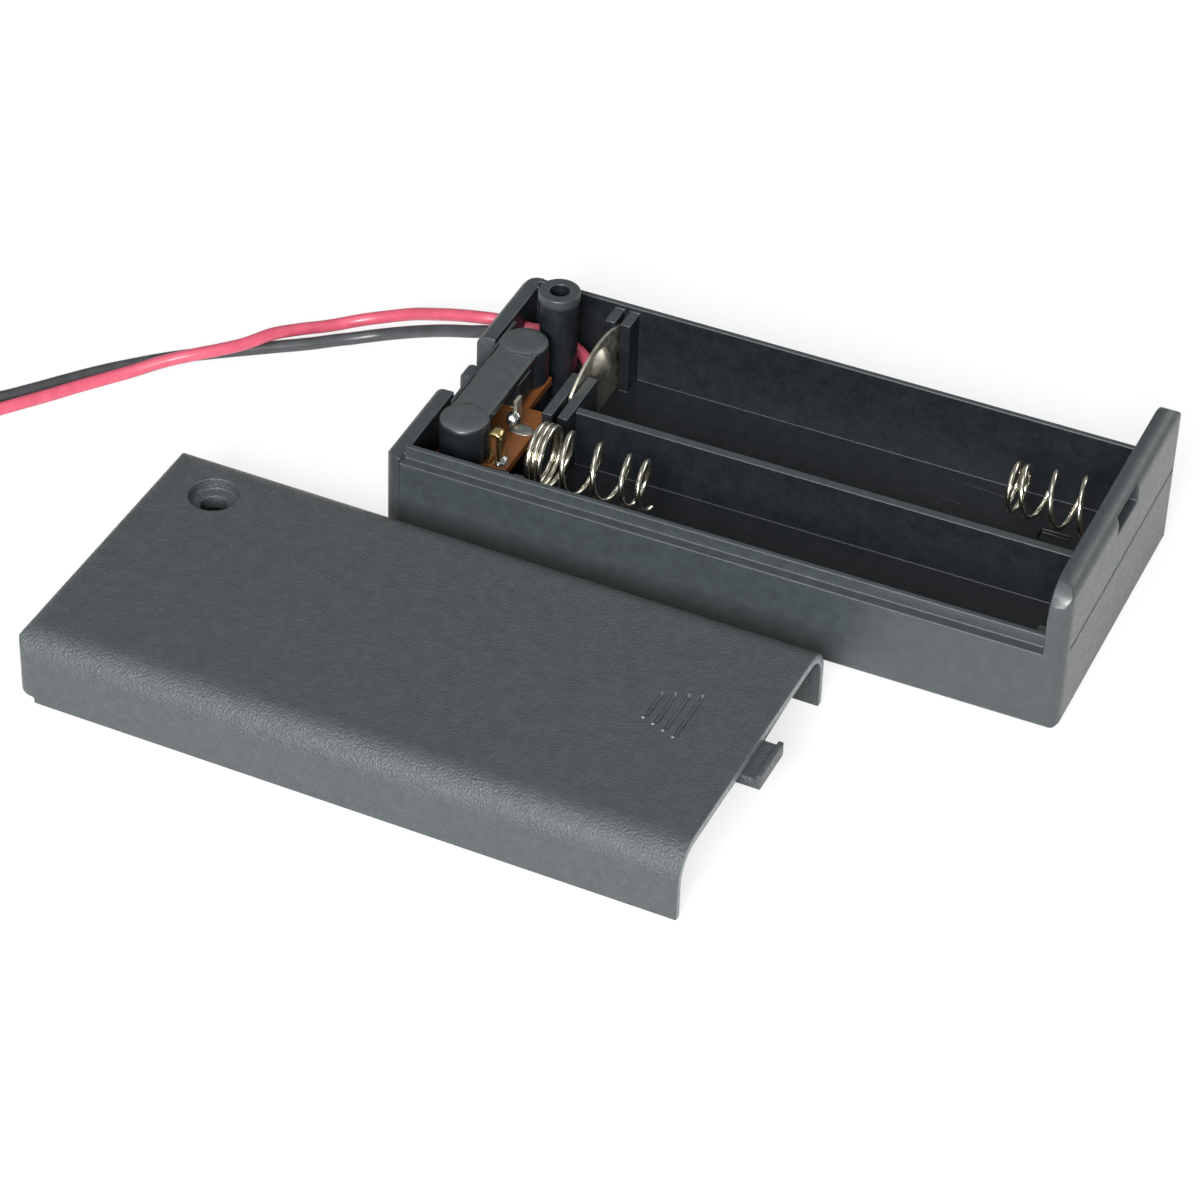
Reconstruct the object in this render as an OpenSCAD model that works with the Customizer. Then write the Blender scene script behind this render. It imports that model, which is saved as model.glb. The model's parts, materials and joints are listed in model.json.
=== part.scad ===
/* [Tray] */
// Length of the tray, outside
box_l = 63; // [60:0.5:80]
// Width of the tray, outside
box_w = 30.4; // [29:0.1:40]
// Thickness of the floor
floor_t = 1.2; // [0.8:0.1:2]
// Height of the ledge that the cover stands on
ledge_z = 7.9; // [7.5:0.1:9]
// Height of the locating lip above the ledge
lip_h = 1.2; // [0.8:0.1:1.5]
// Width of the ledge
ledge_w = 1; // [0.9:0.05:1.3]
// Thickness of the locating lip
lip_t = 0.55; // [0.45:0.05:1]
// Thickness of the switch end wall
left_t = 1.85; // [1.4:0.05:2.2]
// Thickness of the tall end wall
right_t = 1.9; // [1.5:0.05:2.5]
// Thickness of the rib between the two cells
divider_t = 0.9; // [0.6:0.1:1.2]
// Height of the rib between the two cells
divider_z = 6.9; // [4:0.1:7.5]
// Radius of the upright corners at the switch end
left_r = 1.8; // [1:0.1:2.5]
// Radius of the upright corners at the tall end
right_r = 1.5; // [0.5:0.1:2.5]
// Radius of the bottom edges
bottom_r = 0.7; // [0.3:0.05:1.1]
// Height of the switch end wall above the ledge
left_h = 0.5; // [0.2:0.1:0.8]
// Radius of the outer top edge of the switch end wall
left_top_r = 1; // [0.3:0.05:1.2]
// Radius of the outer top edge of the tall end wall
end_top_r = 1.4; // [0.5:0.1:1.8]
// Depth of the shadow line across the tall end wall
shadow_d = 0.25; // [0.1:0.05:0.5]
// Height of the shadow line across the tall end wall
shadow_h = 0.25; // [0.1:0.05:0.5]

/* [Cover] */
// Height of the cover
cover_h = 6.85; // [5.5:0.05:9]
// Thickness of the cover's skirts
skirt_t = 0.7; // [0.5:0.05:0.75]
// Thickness of the cover's top
cover_t = 0.95; // [0.7:0.05:1.5]
// Radius of the cover's long shoulders
shoulder_r = 3; // [1.5:0.1:4]
// Radius of the cover's top edge at the switch end
cover_end_r = 1.3; // [0.8:0.1:2]
// Gap between the cover's skirts and the tray's outer faces
cover_inset = 0.15; // [0.05:0.05:0.25]
// Gap between the cover and the tray where they locate
cover_clear = 0.1; // [0.05:0.05:0.3]
// Width of the hook tab
tab_w = 4.9; // [3:0.1:8]
// Thickness of the hook tab
tab_t = 1; // [0.6:0.1:1.5]
// Reach of the hook tab beyond the cover's end
tab_reach = 1.6; // [1:0.1:1.8]
// Depth of the grip lines
grip_d = 0.25; // [0.1:0.05:0.5]
// Width of the grip lines
grip_w = 0.35; // [0.2:0.05:0.6]
// Distance between the grip lines
grip_pitch = 1.05; // [0.8:0.05:1.5]

/* [Cover screw] */
// Outer diameter of the screw boss
boss_d = 3.8; // [3.2:0.1:4.5]
// Pilot hole in the screw boss
pilot_d = 1.8; // [1.2:0.1:2.2]
// Height of the screw boss
boss_z = 12.2; // [11:0.1:13.3]
// Depth of the pilot hole
pilot_depth = 8; // [4:0.5:11]
// Clearance hole in the cover
screw_d = 2.4; // [2.3:0.1:3]
// Diameter of the recess for the screw head
head_d = 4.4; // [4:0.1:5.5]
// Depth of the recess for the screw head
head_depth = 1.1; // [0.5:0.1:1.2]
// Width of the collar around the recess, inside the cover
collar_t = 0.8; // [0.5:0.1:1.2]

/* [Cells] */
// Diameter of a cell
cell_d = 10.5; // [10:0.1:11]
// Gap between a cell and the floor
cell_clear = 0.05; // [0:0.05:0.3]

/* [Springs] */
// Wire diameter of the springs
wire_d = 0.5; // [0.4:0.05:0.7]
// Outer diameter of the springs at the cell
spring_d = 4.8; // [4.4:0.1:5.6]
// Outer diameter of the springs at the base
spring_base_d = 6.1; // [5.8:0.1:7]
// Free length of the front spring
front_spring_l = 11.5; // [10.5:0.1:13]
// Free length of the rear spring
rear_spring_l = 10.6; // [9:0.1:12]

/* [Contacts] */
// Thickness of the contact plates
plate_t = 0.3; // [0.2:0.05:0.4]
// Gap between a plate and the slot that holds it
plate_clear = 0.1; // [0.05:0.05:0.2]
// Thickness of the ribs that hold the contacts
rib_t = 1; // [0.8:0.1:1.2]
// Height of the ribs beside the divider
rib_z = 7.4; // [6.5:0.1:8]
// Height of the ribs on the long walls
side_rib_z = 8.6; // [7.5:0.1:8.9]
// Diameter of the raised contact on a plate
dome_d = 4; // [3:0.1:5]
// Height of the raised contact on a plate
dome_h = 1; // [0.5:0.1:1.4]

/* [Switch] */
// Diameter of the retainer's round heads
head_post_d = 4.6; // [4:0.1:4.8]
// Width of the retainer's bar
bar_w = 3.7; // [2.5:0.1:4]
// Thickness of the retainer's bar
bar_t = 1; // [0.8:0.1:1.3]
// Distance between the retainer's heads
head_pitch = 12.6; // [12.2:0.1:13]
// Diameter of the pins under the retainer
pin_d = 2.2; // [1.6:0.1:2.4]
// Gap around the pins
pin_clear = 0.1; // [0.05:0.05:0.2]
// Thickness of the terminal board
board_t = 0.8; // [0.6:0.1:1.2]
// Height of the terminal board's underside
board_z = 4.4; // [3.5:0.1:4.6]
// Distance from the switch end wall to the plus contact
switch_bay = 8.95; // [8.8:0.05:9.6]
// Length of the knob
knob_l = 2.3; // [1.8:0.1:2.8]
// Reach of the knob outside the wall
knob_out = 0.6; // [0.4:0.1:1.5]
// Length of the slot in the wall for the knob
slot_l = 8.6; // [8:0.1:9]
// Travel of the knob
travel = 5; // [3:0.1:5]
// Running gap around the slider
run_clear = 0.1; // [0.05:0.05:0.15]

/* [Leads] */
// Diameter of a lead
lead_d = 1.2; // [1:0.1:1.4]
// Gap around a lead in its hole
lead_clear = 0.05; // [0.05:0.05:0.2]
// Length of bared and tinned wire at the end of a lead
end_l = 6; // [4:0.5:8]
// Diameter of a coil of lead at the middle of its turns
coil_d = 12.4; // [12:0.1:14]

/* [Hidden] */
$fn = 48;
e = 0.01;

// Outside and inside limits of the tray
x0 = -box_l / 2;
x1 = box_l / 2;
y1 = box_w / 2;
xi0 = x0 + left_t;
xi1 = x1 - right_t;
yi = y1 - ledge_w - lip_t;
lip_z = ledge_z + lip_h;
left_z = ledge_z + left_h;
top_z = ledge_z + cover_h;
cell_axis_z = floor_t + cell_clear + cell_d / 2;
cell_y = (yi + divider_t / 2) / 2;

// The contacts, from the switch end wall inwards
slot_gap = plate_t + 2 * plate_clear;
plate_x = xi0 + switch_bay;
ribs_x0 = plate_x - slot_gap / 2 - rib_t;
ribs_x1 = plate_x + slot_gap / 2;
mid_rib_y0 = -2.4;
mid_rib_y1 = cell_y - dome_d / 2 - 0.65;
side_rib_l = 2.25;
plate_y0 = 1;
plate_top = lip_z;
plate_drop = 1.9;
link_x = xi1 - plate_clear - plate_t;
link_gap = 0.3;
link_top = lip_z - 0.5;
keeper_w = 2.2;
keeper_t = 1.1;
base_turns = 2.75;
base_pitch = 0.55;
end_turns = 1.5;
end_pitch = 1.6;
front_turns = 6.75;
rear_base_turns = 1.25;
rear_end_pitch = 0.85;
rear_turns = 5.75;
turn_steps = 16;
front_spring_x = ribs_x1 - 0.05;
seat_gap = 0.05;
saddle_l = 2.4;
pocket_l = 2.8;
pocket_w = 1.5;
pocket_depth = 0.4;
pocket_x = link_x - 7.6;
pocket_y = cell_y + 0.65;
saddle_w = 4;
dome_r = dome_d * dome_d / (8 * dome_h) + dome_h / 2;

// The screw boss
boss_x = xi0 + 4.15;
boss_y = yi - 4.5;
boss_ring_h = 1;
boss_neck_d = boss_d - 0.3;

// The switch, from the boss forwards and from the wall inwards
head_gap = 0.5;
head_x = xi0 + head_gap + head_post_d / 2;
boss_gap = 0.35;
head_y1 = boss_y - boss_d / 2 - boss_gap - head_post_d / 2;
head_y0 = head_y1 - head_pitch;
head_rise = 0.15;
board_top = board_z + board_t;
board_end_x = ribs_x0 - 0.5;
board_over = 1;
board_past = 2.8;
bridge_t = 0.3;
bridge_w = 2.4;
bridge_l = 2.6;
bridge_z = board_top + run_clear / 2;
slider_z0 = bridge_z + bridge_t;
slider_z1 = ledge_z;
bar_z0 = slider_z1 + 0.2;
head_z = bar_z0 + bar_t + head_rise;
pin_z = head_z - 1;
shield_x0 = xi0 + run_clear;
shield_t = 0.35;
shield_z = left_z - 0.2;
slot_y = head_y1 - 4.5;
shield_y0 = slot_y - 5.3;
shield_y1 = slot_y + 8.1;
slot_z = 2.9;
stop_gap = 0.2;
knob_y1 = slot_y + slot_l / 2 - stop_gap;
knob_z0 = slot_z + 2 * run_clear;
knob_z1 = 5.4;
block_l = head_pitch - head_post_d - travel - 2 * run_clear;
block_y1 = head_y1 - head_post_d / 2 - run_clear;
block_x1 = head_x + bar_w / 2;

// The terminals of the board
fit_gap = 0.05;
term_x = head_x + head_post_d / 2 + 2 * fit_gap;
term_t = 0.35;
term_w = 1.2;
term_z0 = board_z - 1.1;
term_z1 = ledge_z + 0.3;
term_pitch = 5.5;
term_y = [head_y0 + 0.1, head_y0 + 0.1 + term_pitch];
hook_z = ledge_z + 0.6;
hook_l = 1.3;
hook_foot = 0.3;
solder_d = 1.4;
solder_side = 1;
solder_plate_d = 1.9;

// The holes for the leads, and where the red lead ends inside
hole_z = 5.4;
red_hole_y = yi - 2.45;
black_hole_y = yi - 4.55;
red_end_y = mid_rib_y1 + solder_plate_d + 0.2;
red_end_z = 5;

// The cover, in its own place: corner at the origin, open side down
cover_l = box_l - right_t - cover_inset - cover_clear;
cover_w = box_w - 2 * cover_inset;
relief_x = left_t - cover_inset + cover_clear;
relief_h = left_h + cover_clear;
cover_plan_r = left_r - cover_inset;
tab_y = cover_w / 2;
tab_z = 4.55;
tab_hook = 0.45;
tab_hook_l = 0.5;
tab_root_l = 2.5;
tab_gap = 0.2;
collar_z = boss_z + cover_clear - ledge_z;
grip_x = cover_l - 9.65;
grip_y = cover_w / 2 + 1.05;
grip_l = 3.3;
grip_step = 0.78;
grip_n = 4;
cover_back = 17.6;
cover_apart = 3.8;
cover_at = [x0 - cover_back, -y1 - cover_w - cover_apart, 0];
cover_turn = -1;

// The routes of the leads, from the wall outwards
red_route = [[-31.5, 11.2, 5.4], [-32.5, 11.2, 5.4], [-34, 11, 5.3], [-36.5, 11.1, 4.7],
    [-39, 11.6, 3.7], [-41.5, 12.1, 2.6], [-44, 12, 1.6], [-46.5, 11.2, 0.9], [-48.8, 9.4, 0.7],
    [-50.8, 6.8, 1.3], [-52.3, 4.3, 1.9], [-53.8, 1.9, 1.9], [-55.4, 0.1, 1.9], [-57.4, -1.7, 1.8],
    [-59.5, -3.2, 1.4], [-62, -5.4, 0.8], [-64.5, -8.2, 0.6], [-67.2, -11.8, 0.6],
    [-70, -15.4, 0.6], [-73, -19.4, 0.6], [-76.3, -23.8, 0.6]];
black_route = [[-31.5, 9.1, 5.4], [-32.5, 9.1, 5.4], [-34, 9, 5], [-36.5, 9.3, 4.1], [-39, 9.7, 3],
    [-41.5, 9.9, 1.9], [-44, 9.6, 1], [-46.5, 8.3, 0.6], [-49.3, 6.1, 0.6], [-53, 3.5, 0.6],
    [-56.5, 1, 0.6], [-59.5, -1.3, 0.6], [-62.2, -3.8, 0.6], [-64.6, -6.3, 0.6], [-66.6, -8.7, 0.6],
    [-68.9, -11.6, 0.6], [-71, -14, 0.6], [-73.6, -15.9, 0.6], [-77, -16.6, 0.6],
    [-80.9, -16.6, 0.6]];

// The leads inside, each point set from what it passes: the hole, the boss, the ribs and the solder
run_z = 1.9;
red_inside = [[x0, red_hole_y, hole_z], [xi0 + 0.15, red_hole_y, hole_z],
    [boss_x - 2.6, boss_y + 2.6, hole_z - 0.3], [boss_x - 1, boss_y + 3.2, hole_z - 1.1],
    [boss_x + 0.8, boss_y + 3.1, run_z + 1.7], [boss_x + 2.2, boss_y + 2, run_z + 1.5],
    [boss_x + 2.7, boss_y + 0.4, run_z + 1.4], [ribs_x0 - 0.8, red_end_y + 1.9, run_z + 1.8],
    [plate_x - 1.2, red_end_y + 1.2, red_end_z - 0.6], [plate_x - 1, red_end_y + 0.6, red_end_z],
    [plate_x - 1, red_end_y, red_end_z]];
black_inside = [[x0, black_hole_y, hole_z], [xi0 + 0.15, black_hole_y, hole_z],
    [xi0 + 0.8, black_hole_y + 0.5, hole_z - 0.5], [xi0 + 1.2, black_hole_y + 1.5, hole_z - 1.4],
    [boss_x - 2.3, boss_y + 2.6, run_z + 1.2], [boss_x - 1, boss_y + 3.2, run_z + 0.3],
    [boss_x + 1, boss_y + 3, run_z], [boss_x + 2.4, boss_y + 1.6, run_z],
    [boss_x + 2.7, boss_y - 0.2, run_z], [ribs_x0 - 0.8, cell_y - 1.2, run_z],
    [ribs_x0 - 0.9, mid_rib_y1 - 1.4, run_z], [ribs_x0 - 0.9, 0, run_z + 0.1],
    [term_x + 0.6, term_y[1] + 0.6, run_z + 0.5]];

// The coils at the ends of the leads
red_coil_at = [-73.2, -31.8, 0];
black_coil_at = [-85.4, -9.3, 0];
coil_turn_w = 3.4;
coil_turn_h = lead_d;
tie_w = 2;
tie_t = 0.35;
tie_gap = 0.15;
tip_d = 0.8;
tip_at = 5;
tip_out = 6.5;
tip_z = 1.3;

function unit(v) = v / norm(v);
function turn(t, v) = unit(cross(t, v));

// A tube along the points p, with n sides; a side's own direction comes from the axis up
module sweep(p, d, n, up) {
    m = len(p);
    tang = [for (i = [0 : m - 1]) unit(p[min(i + 1, m - 1)] - p[max(i - 1, 0)])];
    u = [for (i = [0 : m - 1]) turn(tang[i], up)];
    w = [for (i = [0 : m - 1]) turn(tang[i], u[i])];
    pts = [for (i = [0 : m - 1], j = [0 : n - 1])
        p[i] + d / 2 * (cos(360 * j / n) * u[i] + sin(360 * j / n) * w[i])];
    side = [for (i = [0 : m - 2], j = [0 : n - 1])
        [i * n + j, (i + 1) * n + j, (i + 1) * n + (j + 1) % n, i * n + (j + 1) % n]];
    first = [[for (j = [0 : n - 1]) j]];
    last = [[for (j = [n - 1 : -1 : 0]) (m - 1) * n + j]];
    polyhedron(concat(pts), concat(side, first, last), 4);
}

// A spring along +X from its base: b closed turns, open turns, then end turns at the pitch ep
function spring_r(t, b, n) = (spring_base_d - wire_d) / 2
    - (spring_base_d - spring_d) / 2 * min(1, max(0, (t - b) / (n - end_turns - b)));
function spring_x(t, b, n, l, ep) = t < b ? t * base_pitch
    : t > n - end_turns ? l - wire_d - (n - t) * ep
    : b * base_pitch
        + (t - b) / (n - end_turns - b) * (l - wire_d - end_turns * ep - b * base_pitch);

module spring(l, b, n, ep, steps) {
    p = [for (i = [0 : n * steps])
        let (t = i / steps, r = spring_r(t, b, n))
        [spring_x(t, b, n, l, ep) + wire_d / 2, r * cos(360 * t), r * sin(360 * t)]];
    sweep(p, wire_d, 8, [1, 0, 0]);
}

// A slab seen from above, with its own radius at each end
module plan_shape(l, w, ra, rb) {
    difference() {
        square([l, w]);
        corner_cut(0, 0, 1, 1, ra);
        corner_cut(0, w, 1, -1, ra);
        corner_cut(l, 0, -1, 1, rb);
        corner_cut(l, w, -1, -1, rb);
    }
}

// A slab seen from the end, with round upper corners of radius rt and lower corners of radius rb
module end_shape(w, h, rt, rb) {
    difference() {
        translate([-w / 2, 0]) square([w, h]);
        for (s = [-1, 1]) scale([s, 1]) {
            if (rt > 0) difference() {
                translate([w / 2 - rt, h - rt]) square([rt + 1, rt + 1]);
                translate([w / 2 - rt, h - rt]) circle(rt);
            }
            if (rb > 0) difference() {
                translate([w / 2 - rb, -1]) square([rb + 1, rb + 1]);
                translate([w / 2 - rb, rb]) circle(rb);
            }
        }
    }
}

// A slab seen from the side, with its own radius at each corner
module side_shape(l, h, low_l, low_r, high_l, high_r) {
    difference() {
        square([l, h]);
        corner_cut(0, 0, 1, 1, low_l);
        corner_cut(l, 0, -1, 1, low_r);
        corner_cut(0, h, 1, -1, high_l);
        corner_cut(l, h, -1, -1, high_r);
    }
}

module corner_cut(x, y, sx, sy, r) {
    if (r > 0) translate([x, y]) scale([sx, sy]) difference() {
        translate([-1, -1]) square([r + 1, r + 1]);
        translate([r, r]) circle(r);
    }
}

// Turns a drawing in the y-z plane into a bar along +X
module along_x(l) {
    rotate([90, 0, 90]) linear_extrude(l) children();
}

// Turns a drawing in the x-z plane into a bar along +Y
module along_y(w) {
    translate([0, w, 0]) rotate([90, 0, 0]) linear_extrude(w) children();
}

module box3(a, b) {
    translate(a) cube(b - a);
}

module tray_outside() {
    intersection() {
        translate([x0, -y1, 0]) linear_extrude(top_z) plan_shape(box_l, box_w, left_r, right_r);
        translate([x0, 0, 0]) along_x(box_l) end_shape(box_w, top_z, shoulder_r + cover_inset, bottom_r);
        translate([x0, -y1, 0]) along_y(box_w)
            side_shape(box_l, top_z, bottom_r, bottom_r, 0, end_top_r);
    }
}

// A pair of ribs with a slot for a contact between them
module rib_pair(ya, yb, z) {
    box3([ribs_x0, ya, floor_t - e], [ribs_x0 + rib_t, yb, z]);
    box3([ribs_x1, ya, floor_t - e], [ribs_x1 + rib_t, yb, z]);
}

module tray_inside() {
    rib_pair(mid_rib_y0, mid_rib_y1, rib_z);
    rib_pair(yi - side_rib_l, yi + e, side_rib_z);
    rib_pair(-yi - e, -yi + side_rib_l, rib_z);
    box3([ribs_x1 + rib_t - e, -divider_t / 2, floor_t - e],
        [link_x - plate_clear, divider_t / 2, divider_z]);
    for (s = [-1, 1]) scale([1, s, 1])
        box3([link_x - plate_clear - keeper_t, yi - keeper_w, floor_t - e],
            [link_x - plate_clear, yi + e, ledge_z]);
    translate([boss_x, boss_y, floor_t - e]) cylinder(d = boss_neck_d, h = boss_z - floor_t + e);
    translate([boss_x, boss_y, boss_z - boss_ring_h]) cylinder(d = boss_d, h = boss_ring_h);
    for (y = [head_y0, head_y1]) translate([head_x, y, floor_t - e]) {
        cylinder(d = head_post_d, h = board_z - floor_t + e);
        cylinder(d = pin_d, h = pin_z - floor_t + e);
    }
    box3([front_spring_x, -cell_y - saddle_w / 2, floor_t - e],
        [front_spring_x + saddle_l, -cell_y + saddle_w / 2, cell_axis_z - spring_base_d / 2 - seat_gap]);
}

module tray() {
    color("dimgray") difference() {
        union() {
            difference() {
                tray_outside();
                box3([xi0, -yi, floor_t], [xi1, yi, top_z + 1]);
                box3([x0 - 1, -y1 - 1, lip_z], [xi1, y1 + 1, top_z + 1]);
                box3([x0 - 1, -y1 - 1, left_z], [xi0, y1 + 1, top_z + 1]);
                for (s = [-1, 1]) scale([1, s, 1])
                    box3([xi0, y1 - ledge_w, ledge_z], [xi1, y1 + 1, top_z + 1]);
                translate([x0, -y1 - 1, left_z]) along_y(box_w + 2) corner_cut(0, 0, 1, -1, left_top_r);
                box3([x1 - shadow_d, -y1 + right_r, ledge_z], [x1 + 1, y1 - right_r, ledge_z + shadow_h]);
            }
            tray_inside();
        }
        box3([xi1 - 1, -tab_w / 2 - tab_gap, ledge_z + tab_z - tab_gap],
            [x1 + 1, tab_w / 2 + tab_gap, ledge_z + tab_z + tab_t + tab_hook + tab_gap]);
        translate([boss_x, boss_y, boss_z - pilot_depth]) cylinder(d = pilot_d, h = pilot_depth + 1);
        box3([x0 - 1, slot_y - slot_l / 2, slot_z], [xi0 + e, slot_y + slot_l / 2, lip_z + 1]);
        for (y = [red_hole_y, black_hole_y]) translate([x0 - 1, y, hole_z]) rotate([0, 90, 0])
            cylinder(d = lead_d + 2 * lead_clear, h = left_t + 2);
        box3([pocket_x, pocket_y, floor_t - pocket_depth],
            [pocket_x + pocket_l, pocket_y + pocket_w, floor_t + 1]);
    }
}

module cover_solid(l, w, h, r, end_r, plan_r) {
    intersection() {
        linear_extrude(h) plan_shape(l, w, plan_r, 0);
        translate([0, w / 2, 0]) along_x(l) end_shape(w, h, r, 0);
        along_y(w) side_shape(l, h, 0, 0, end_r, 0);
    }
}

module cover_shape() {
    hole_x = boss_x - x0 - cover_inset;
    hole_y = boss_y + cover_w / 2;
    difference() {
        union() {
            difference() {
                cover_solid(cover_l, cover_w, cover_h, shoulder_r, cover_end_r, cover_plan_r);
                translate([skirt_t, skirt_t, -1])
                    cover_solid(cover_l, cover_w - 2 * skirt_t, cover_h - cover_t + 1,
                        shoulder_r - skirt_t, cover_end_r - skirt_t, cover_plan_r - skirt_t);
            }
            translate([hole_x, hole_y, collar_z])
                cylinder(d = head_d + 2 * collar_t, h = cover_h - cover_t - collar_z + e);
            box3([cover_l - tab_root_l, tab_y - tab_w / 2, tab_z],
                [cover_l - cover_clear, tab_y + tab_w / 2, cover_h - cover_t + e]);
            box3([cover_l - tab_root_l, tab_y - tab_w / 2, tab_z],
                [cover_l + tab_reach, tab_y + tab_w / 2, tab_z + tab_t]);
            box3([cover_l + tab_reach - tab_hook_l, tab_y - tab_w / 2, tab_z],
                [cover_l + tab_reach, tab_y + tab_w / 2, tab_z + tab_t + tab_hook]);
        }
        box3([-1, -1, -1], [relief_x, cover_w + 1, relief_h]);
        translate([hole_x, hole_y, collar_z - 1]) cylinder(d = screw_d, h = cover_h);
        translate([hole_x, hole_y, cover_h - head_depth]) cylinder(d = head_d, h = head_depth + 1);
        for (i = [0 : grip_n - 1])
            box3([grip_x + i * grip_pitch, grip_y - grip_l / 2 - i * grip_step / 2, cover_h - grip_d],
                [grip_x + i * grip_pitch + grip_w, grip_y + grip_l / 2 + i * grip_step / 2, cover_h + 1]);
    }
}

module cover() {
    color("slategray") translate(cover_at) rotate([0, 0, cover_turn]) cover_shape();
}

module switch_retainer() {
    color("gray") difference() {
        union() {
            box3([head_x - bar_w / 2, head_y0, bar_z0], [head_x + bar_w / 2, head_y1, bar_z0 + bar_t]);
            for (y = [head_y0, head_y1]) translate([head_x, y, board_top])
                cylinder(d = head_post_d, h = head_z - board_top);
        }
        for (y = [head_y0, head_y1]) translate([head_x, y, board_top - 1])
            cylinder(d = pin_d + 2 * pin_clear, h = pin_z + pin_clear - board_top + 1);
    }
}

module switch_slider() {
    color("darkslategray") {
        box3([shield_x0, shield_y0, slot_z], [shield_x0 + shield_t, shield_y1, shield_z]);
        box3([shield_x0, block_y1 - block_l, slider_z0], [block_x1, block_y1, slider_z1]);
        box3([x0 - knob_out, knob_y1 - knob_l, knob_z0], [shield_x0 + e, knob_y1, knob_z1]);
    }
}

module contact_bridge() {
    mid_y = block_y1 - block_l / 2;
    color("gold") box3([head_x - bridge_w / 2, mid_y - bridge_l / 2, bridge_z],
        [head_x + bridge_w / 2, mid_y + bridge_l / 2, slider_z0]);
}

module terminal_board() {
    color("saddlebrown") difference() {
        union() {
            box3([shield_x0 + shield_t + run_clear, head_y0 - board_over, board_z],
                [term_x, head_y1 + board_over, board_top]);
            box3([term_x - e, head_y0 - board_over, board_z],
                [board_end_x, term_y[1] + board_past, board_top]);
        }
        for (y = [head_y0, head_y1]) translate([head_x, y, board_z - 1])
            cylinder(d = pin_d + 2 * pin_clear, h = board_t + 2);
        for (y = term_y) term_bar(y, board_z - 1, board_top + 1, fit_gap);
    }
}

// The upright of a terminal, standing through the board
module term_bar(y, za, zb, gap) {
    box3([term_x - gap, y - term_w / 2 - gap, za], [term_x + term_t + gap, y + term_w / 2 + gap, zb]);
}

module terminal_front() {
    color("silver") {
        term_bar(term_y[0], term_z0, hook_z, 0);
        box3([term_x, term_y[0] - term_w / 2, hook_z - term_t],
            [term_x + hook_l, term_y[0] + term_w / 2, hook_z]);
        box3([term_x + hook_l - term_t, term_y[0] - term_w / 2, board_top + hook_foot],
            [term_x + hook_l, term_y[0] + term_w / 2, hook_z]);
    }
}

module terminal_middle() {
    color("silver") term_bar(term_y[1], term_z0, term_z1, 0);
}

module front_spring() {
    color("silver") translate([front_spring_x, -cell_y, cell_axis_z])
        spring(front_spring_l, base_turns, front_turns, end_pitch, turn_steps);
}

module rear_spring() {
    color("silver") translate([link_x - seat_gap, cell_y, cell_axis_z]) rotate([0, 0, 180])
        spring(rear_spring_l, rear_base_turns, rear_turns, rear_end_pitch, turn_steps);
}

// A round raised contact standing on the plate's face at x = 0
module dome() {
    rotate([0, 90, 0]) rotate_extrude() intersection() {
        square([dome_d / 2, dome_h]);
        translate([0, dome_h - dome_r]) circle(dome_r);
    }
}

module plus_plate() {
    mid = (plate_y0 + yi - plate_clear) / 2;
    half = (yi - plate_clear - plate_y0) / 2;
    arch_r = (half * half + plate_drop * plate_drop) / (2 * plate_drop);
    color("silver") {
        translate([plate_x - plate_t / 2, 0, 0]) along_x(plate_t) intersection() {
            translate([plate_y0, floor_t + fit_gap]) square([2 * half, plate_top]);
            translate([mid, plate_top - arch_r]) circle(arch_r, $fn = 96);
        }
        translate([plate_x + plate_t / 2 - e, cell_y, cell_axis_z]) dome();
    }
}

module link_plate() {
    half = yi - link_gap;
    color("silver") {
        box3([link_x, -half, floor_t + fit_gap], [link_x + plate_t, half, link_top]);
        translate([link_x + e, -cell_y, cell_axis_z]) rotate([0, 0, 180]) dome();
    }
}

// A cone of solder on the board, under the foot of the folded leg
module solder_front() {
    color("lightgray") translate([term_x + hook_l - term_t / 2, term_y[0], board_top])
        cylinder(d1 = solder_d, d2 = 0.7 * solder_d, h = hook_foot);
}

module solder_middle() {
    color("lightgray") difference() {
        translate([term_x + term_t / 2 + fit_gap, term_y[1] - solder_side, board_top + solder_d])
            sphere(d = solder_d);
        term_bar(term_y[1], term_z0, lip_z, 0);
    }
}

module solder_plate() {
    color("lightgray")
        translate([plate_x - plate_t / 2, red_end_y - fit_gap - solder_plate_d / 2, red_end_z])
            rotate([0, -90, 0]) cylinder(d1 = solder_plate_d, d2 = solder_plate_d / 2, h = lead_d);
}

module red_inner_lead() {
    color("crimson") sweep(red_inside, lead_d, 8, [0, 0, 1]);
}

module black_inner_lead() {
    color("black") sweep(black_inside, lead_d, 8, [0, 0, 1]);
}

module red_lead() {
    color("crimson") sweep(red_route, lead_d, 8, [0, 0, 1]);
}

module black_lead() {
    color("black") sweep(black_route, lead_d, 8, [0, 0, 1]);
}

// The outer shape of a coil of lead lying flat
module coil_solid(at) {
    translate(at) rotate_extrude() translate([coil_d / 2 - coil_turn_w / 2, 0])
        square([coil_turn_w, coil_turn_h]);
}

// A band around one side of a coil
module tie_solid(at) {
    half = coil_turn_w / 2;
    translate([at[0] - coil_d / 2, at[1], 0]) difference() {
        box3([-half - tie_t, -tie_w / 2, 0], [half + tie_t, tie_w / 2, coil_turn_h + tie_t]);
        box3([-half - tie_gap, -tie_w, -1], [half + tie_gap, tie_w, coil_turn_h + tie_gap]);
    }
}

module red_coil() {
    color("crimson") coil_solid(red_coil_at);
}

module black_coil() {
    color("black") coil_solid(black_coil_at);
}

module red_tie() {
    color("white") tie_solid(red_coil_at);
}

module black_tie() {
    color("white") tie_solid(black_coil_at);
}

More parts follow.
